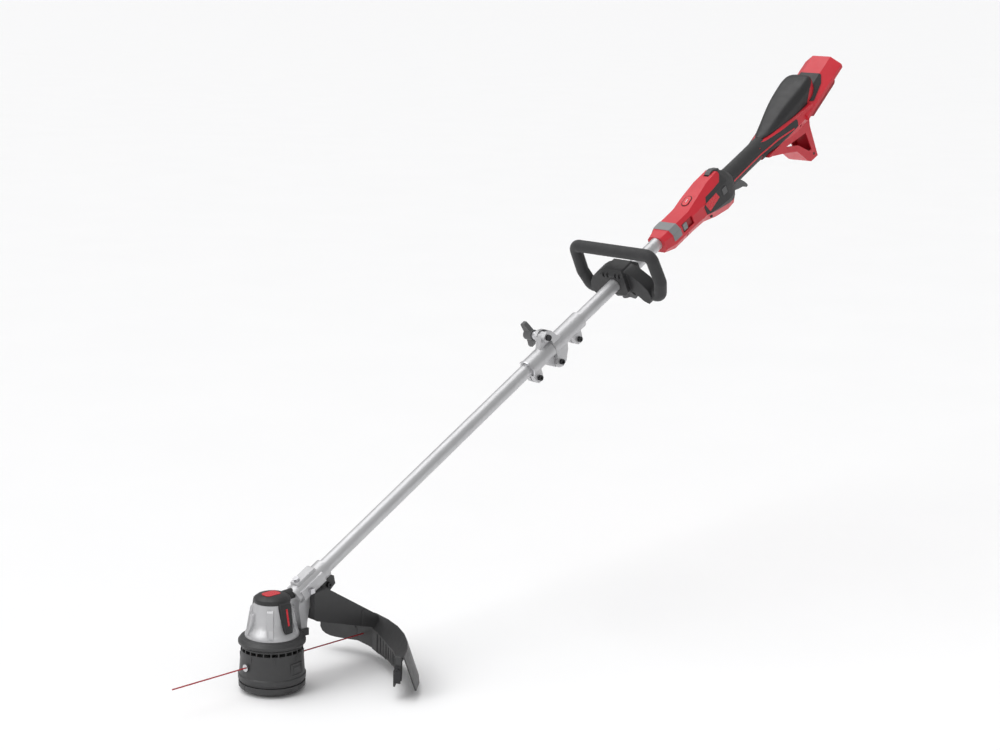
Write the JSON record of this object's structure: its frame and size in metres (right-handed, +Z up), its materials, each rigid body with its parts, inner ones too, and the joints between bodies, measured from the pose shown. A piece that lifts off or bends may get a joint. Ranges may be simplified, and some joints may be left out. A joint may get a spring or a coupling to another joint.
{
  "type": "string trimmer",
  "caption": "Cordless string trimmer with a folding straight shaft, finned motor head, bump-feed spool, curved guard, D-shaped front handle and rear trigger grip",
  "frame": {"origin": "centre of the bump knob's underside, on the cutting head's spin axis", "axes": "+Z up along the spin axis, +X from the head towards the handle, +Y to the operator's left when looking along the shaft to the head's far side"},
  "size_m": [1.69, 0.3132, 1.0105],
  "materials": {
    "red_plastic": "fine-textured",
    "black_plastic": "fine-textured",
    "grey_plastic": "fine-textured",
    "band_grey": "satin",
    "grip_rubber": "ribbed matte",
    "cable_rubber": "matte",
    "red_trim": "gloss",
    "tube_aluminium": "satin anodised",
    "cast_aluminium": "cast",
    "eyelet_steel": "polished",
    "black_steel": "black oxide",
    "plain_steel": "zinc plated",
    "blade_steel": "brushed",
    "copper_winding": "enamelled",
    "laminated_steel": "laminated",
    "nylon_line": "satin",
    "board_green": "gloss",
    "terminal_plastic": "satin"
  },
  "bodies": {
    "handle": {"upper_tube": "tube_aluminium", "upper_lead": "cable_rubber", "coupler_upper": "cast_aluminium", "upper_clamp_bolt": "black_steel", "hinge_bolt": "black_steel", "left_shell": "red_plastic", "right_shell": "red_plastic", "grip_overmould": "grip_rubber", "grip_pinstripes": "red_trim", "saddle_band": "band_grey", "side_badges": "red_trim", "top_cover": "black_plastic", "vent_insert": "black_plastic", "battery_rails": "red_plastic", "terminal_block": "terminal_plastic", "control_board": "board_green", "trigger_pin": "plain_steel", "trigger_spring": "plain_steel", "trigger_switch": "terminal_plastic", "housing_screws": "black_steel"},
    "lower_shaft": {"lower_tube": "tube_aluminium", "lower_lead": "cable_rubber", "coupler_lower": "cast_aluminium", "lower_clamp_bolt": "black_steel", "head_bracket": "cast_aluminium", "bracket_bolts": "plain_steel", "cable_elbow": "cable_rubber", "motor_housing": "cast_aluminium", "motor_cap": "black_plastic", "cap_badge": "red_trim", "cap_stripes": "red_trim", "shoulder_ring": "grey_plastic", "stator": "laminated_steel", "windings": "copper_winding", "motor_bearings": "plain_steel", "guard_shell": "black_plastic", "guard_blade": "blade_steel", "guard_screws": "black_steel"},
    "cutting_head": {"rotor": "laminated_steel", "motor_shaft": "plain_steel", "drum": "grey_plastic", "spool": "black_plastic", "wound_line": "nylon_line", "arbor_nut": "plain_steel", "line_eyelets": "eyelet_steel", "line_front": "nylon_line", "line_rear": "nylon_line", "spool_cover": "grey_plastic", "bump_spring": "plain_steel"},
    "bump": {"bump_knob": "grey_plastic"},
    "latch": {"latch_bolt": "plain_steel", "latch_knob": "black_plastic"},
    "d_handle": {"handle_loop": "grip_rubber", "handle_clamp": "black_plastic"},
    "d_handle_knob": {"handle_knob": "black_plastic"},
    "trigger_lever": {"trigger": "grey_plastic"},
    "lock_off": {"lock_off_lever": "grey_plastic"},
    "power": {"power_button": "black_plastic"},
    "mode": {"mode_slider": "black_plastic"},
    "side_switch": {"side_button": "black_plastic"}
  },
  "joints": [
    {"name": "shaft_fold", "type": "hinge", "parent": "handle", "child": "lower_shaft", "pos_m": [0.67647, 0, 0.46659], "axis": [0, -1, 0], "range_deg": [0, 150]},
    {"name": "head_spin", "type": "hinge", "parent": "lower_shaft", "child": "cutting_head", "pos_m": [0, 0, 0.05], "axis": [0, 0, 1], "continuous": true},
    {"name": "bump_press", "type": "slide", "parent": "cutting_head", "child": "bump", "axis": [0, 0, 1], "range_m": [0, 0.006], "stiffness_N_per_m": 1500, "springref_m": -0.002, "deforming": ["bump_spring"]},
    {"name": "latch_turn", "type": "hinge", "parent": "handle", "child": "latch", "pos_m": [0.63868, 0, 0.51531], "axis": [0, 1, 0], "range_deg": [0, 720]},
    {"name": "d_handle_slide", "type": "slide", "parent": "handle", "child": "d_handle", "axis": [0.8712, 0, 0.4909], "range_m": [-0.08, 0.06]},
    {"name": "d_handle_knob_turn", "type": "hinge", "parent": "d_handle", "child": "d_handle_knob", "pos_m": [0.87113, 0, 0.57742], "axis": [-0.4909, 0, 0.8712], "range_deg": [0, 720]},
    {"name": "trigger_pull", "type": "hinge", "parent": "handle", "child": "trigger_lever", "pos_m": [1.18111, 0, 0.76471], "axis": [0, -1, 0], "range_deg": [0, 12], "stiffness_Nm_per_rad": 1, "springref_deg": -5.73},
    {"name": "lock_off_press", "type": "hinge", "parent": "handle", "child": "lock_off", "pos_m": [1.11437, 0, 0.78335], "axis": [0, 1, 0], "range_deg": [0, 8], "stiffness_Nm_per_rad": 0.8, "springref_deg": -5.73},
    {"name": "power_press", "type": "slide", "parent": "handle", "child": "power", "axis": [0.6743, 0, -0.7385], "range_m": [0, 0.0015], "stiffness_N_per_m": 800, "springref_m": -0.001},
    {"name": "mode_slide", "type": "slide", "parent": "handle", "child": "mode", "axis": [0.8712, 0, 0.4909], "range_m": [0, 0.017]},
    {"name": "side_press", "type": "slide", "parent": "handle", "child": "side_switch", "axis": [0, 1, 0], "range_m": [0, 0.003], "stiffness_N_per_m": 600, "springref_m": -0.001}
  ]
}
